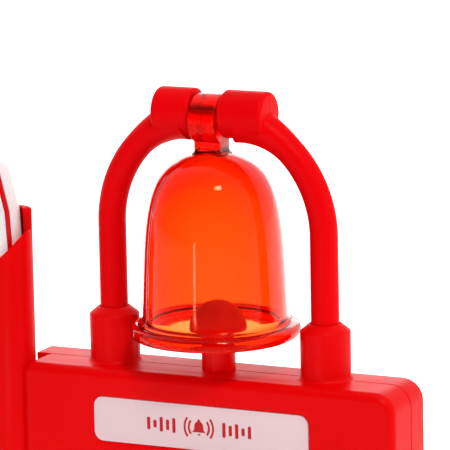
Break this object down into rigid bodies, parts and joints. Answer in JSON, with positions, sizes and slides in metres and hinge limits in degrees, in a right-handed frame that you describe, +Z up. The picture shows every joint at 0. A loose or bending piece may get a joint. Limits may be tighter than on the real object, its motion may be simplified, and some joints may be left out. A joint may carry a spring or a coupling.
{
  "type": "fire alarm box",
  "caption": "Play fire alarm box: flat red two-shell box, clear bell on an arch, lamp, pull handle, sound circuit and a holster with a lift-out hand piece.",
  "frame": {"origin": "on the base, midway between the arch's legs, in the plane where the two shells meet", "axes": "+Z up, the front with the label and the handle faces -Y, +X is the viewer's right, the holster is on the -X side"},
  "size_m": [0.157, 0.0478, 0.1749],
  "materials": {
    "red_plastic": "satin moulded",
    "arch_plastic": "satin moulded",
    "clear_orange": "clear tinted plastic",
    "lamp_red": "gloss moulded",
    "led": "clear epoxy",
    "label": "printed card",
    "white_plastic": "gloss moulded",
    "band_red": "gloss moulded",
    "grey_plastic": "moulded",
    "black_plastic": "moulded",
    "steel": "zinc plated",
    "board": "solder mask",
    "cone": "paper",
    "magnet": "plated",
    "cell": "gloss sleeve",
    "wire": "insulation"
  },
  "bodies": {
    "root": {"front_shell": "red_plastic", "rear_shell": "red_plastic", "left_arm": "arch_plastic", "right_arm": "arch_plastic", "axle_pin": "steel", "lamp_post": "lamp_red", "lamp_cap": "lamp_red", "lamp_led": "led", "label_plate": "label", "return_spring": "steel", "trip_switch": "black_plastic", "circuit_board": "board", "board_screws": "steel", "sound_chip": "black_plastic", "speaker_basket": "black_plastic", "speaker_cone": "cone", "speaker_magnet": "magnet", "battery_cells": "cell", "contact_springs": "steel", "contact_plates": "steel", "power_switch": "grey_plastic", "shell_screws": "steel", "holster": "red_plastic", "wiring": "wire"},
    "bell_body": {"bell": "clear_orange"},
    "handle": {"pull_handle": "white_plastic", "handle_carriage": "grey_plastic", "carriage_screws": "steel"},
    "door": {"battery_door": "red_plastic", "door_screw": "steel"},
    "knob": {"power_knob": "black_plastic"},
    "hand_piece": {"hand_back": "white_plastic", "hand_band": "band_red", "hand_front": "white_plastic", "hand_screws": "steel"},
    "talk": {"talk_bar": "band_red"}
  },
  "joints": [
    {"name": "bell_swing", "type": "hinge", "parent": "root", "child": "bell_body", "pos_m": [-0.001, 0, 0.1682], "axis": [1, 0, 0], "range_deg": [-9, 9]},
    {"name": "handle_pull", "type": "slide", "parent": "root", "child": "handle", "axis": [0, 0, -1], "range_m": [0, 0.012], "stiffness_N_per_m": 120, "springref_m": -0.006, "deforming": ["return_spring"]},
    {"name": "door_lift", "type": "slide", "parent": "root", "child": "door", "axis": [0, 1, 0], "range_m": [0, 0.012]},
    {"name": "power_slide", "type": "slide", "parent": "root", "child": "knob", "axis": [1, 0, 0], "range_m": [0, 0.004]},
    {"name": "hand_lift", "type": "slide", "parent": "root", "child": "hand_piece", "axis": [0, 0, 1], "range_m": [0, 0.136]},
    {"name": "talk_press", "type": "slide", "parent": "hand_piece", "child": "talk", "axis": [0, 1, 0], "range_m": [0, 0.0008], "stiffness_N_per_m": 600, "springref_m": -0.0006}
  ]
}
